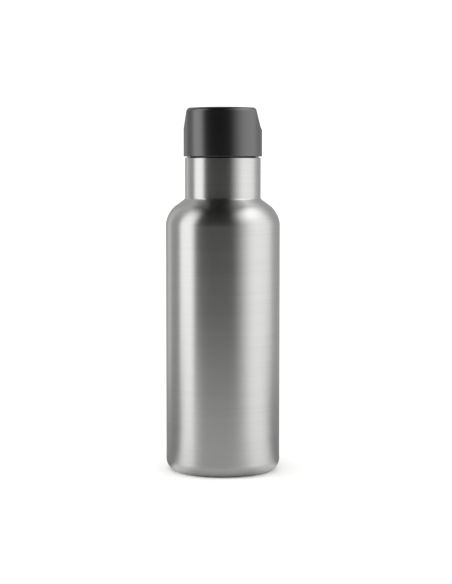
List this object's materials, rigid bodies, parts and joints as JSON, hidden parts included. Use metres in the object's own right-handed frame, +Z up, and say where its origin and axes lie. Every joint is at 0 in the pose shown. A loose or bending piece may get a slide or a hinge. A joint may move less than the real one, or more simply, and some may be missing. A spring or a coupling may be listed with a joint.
{
  "type": "water bottle",
  "caption": "Vacuum-insulated steel water bottle with a narrow neck and a black screw lid; the lid is scooped at both sides and carries a strap loop.",
  "frame": {"origin": "middle of the foot ring, on the surface the bottle stands on", "axes": "+Z up along the bottle's axis; the opening of the lid's loop runs along X, 4.2 degrees off because that is where the thread comes tight"},
  "size_m": [0.07, 0.07, 0.2235],
  "materials": {
    "brushed_shell": "brushed round the axis",
    "plain_steel": "mill finish",
    "brushed_disc": "brushed in circles",
    "liner_steel": "electropolished",
    "copper_foil": "bright copper foil",
    "getter_alloy": "sintered",
    "solder_glass": "fused glass bead",
    "black_plastic": "satin moulded polypropylene",
    "black_plug_plastic": "smooth moulded polypropylene",
    "white_foam": "closed-cell foam",
    "seal_rubber": "satin silicone"
  },
  "bodies": {
    "bottle": {"outer_shell": "brushed_shell", "outer_base": "plain_steel", "base_cover": "brushed_disc", "vacuum_seal": "solder_glass", "getter": "getter_alloy", "getter_clip": "plain_steel", "inner_flask": "liner_steel", "inner_base": "liner_steel", "heat_foil": "copper_foil"},
    "seal": {"lid_seal": "seal_rubber"},
    "lid": {"lid_shell": "black_plastic", "lid_plug": "black_plug_plastic", "lid_insulation": "white_foam"}
  },
  "joints": [
    {"name": "lid_rise", "type": "slide", "parent": "bottle", "child": "seal", "axis": [0, 0, 1], "range_m": [0, 0.0161]},
    {"name": "lid_turn", "type": "hinge", "parent": "seal", "child": "lid", "pos_m": [0, 0, 0.19331], "axis": [0, 0, 1], "range_deg": [0, 1440]}
  ],
  "couplings": [
    {"joint": "lid_rise", "follows": "lid_turn", "m_per_rad": 0.00063662}
  ]
}
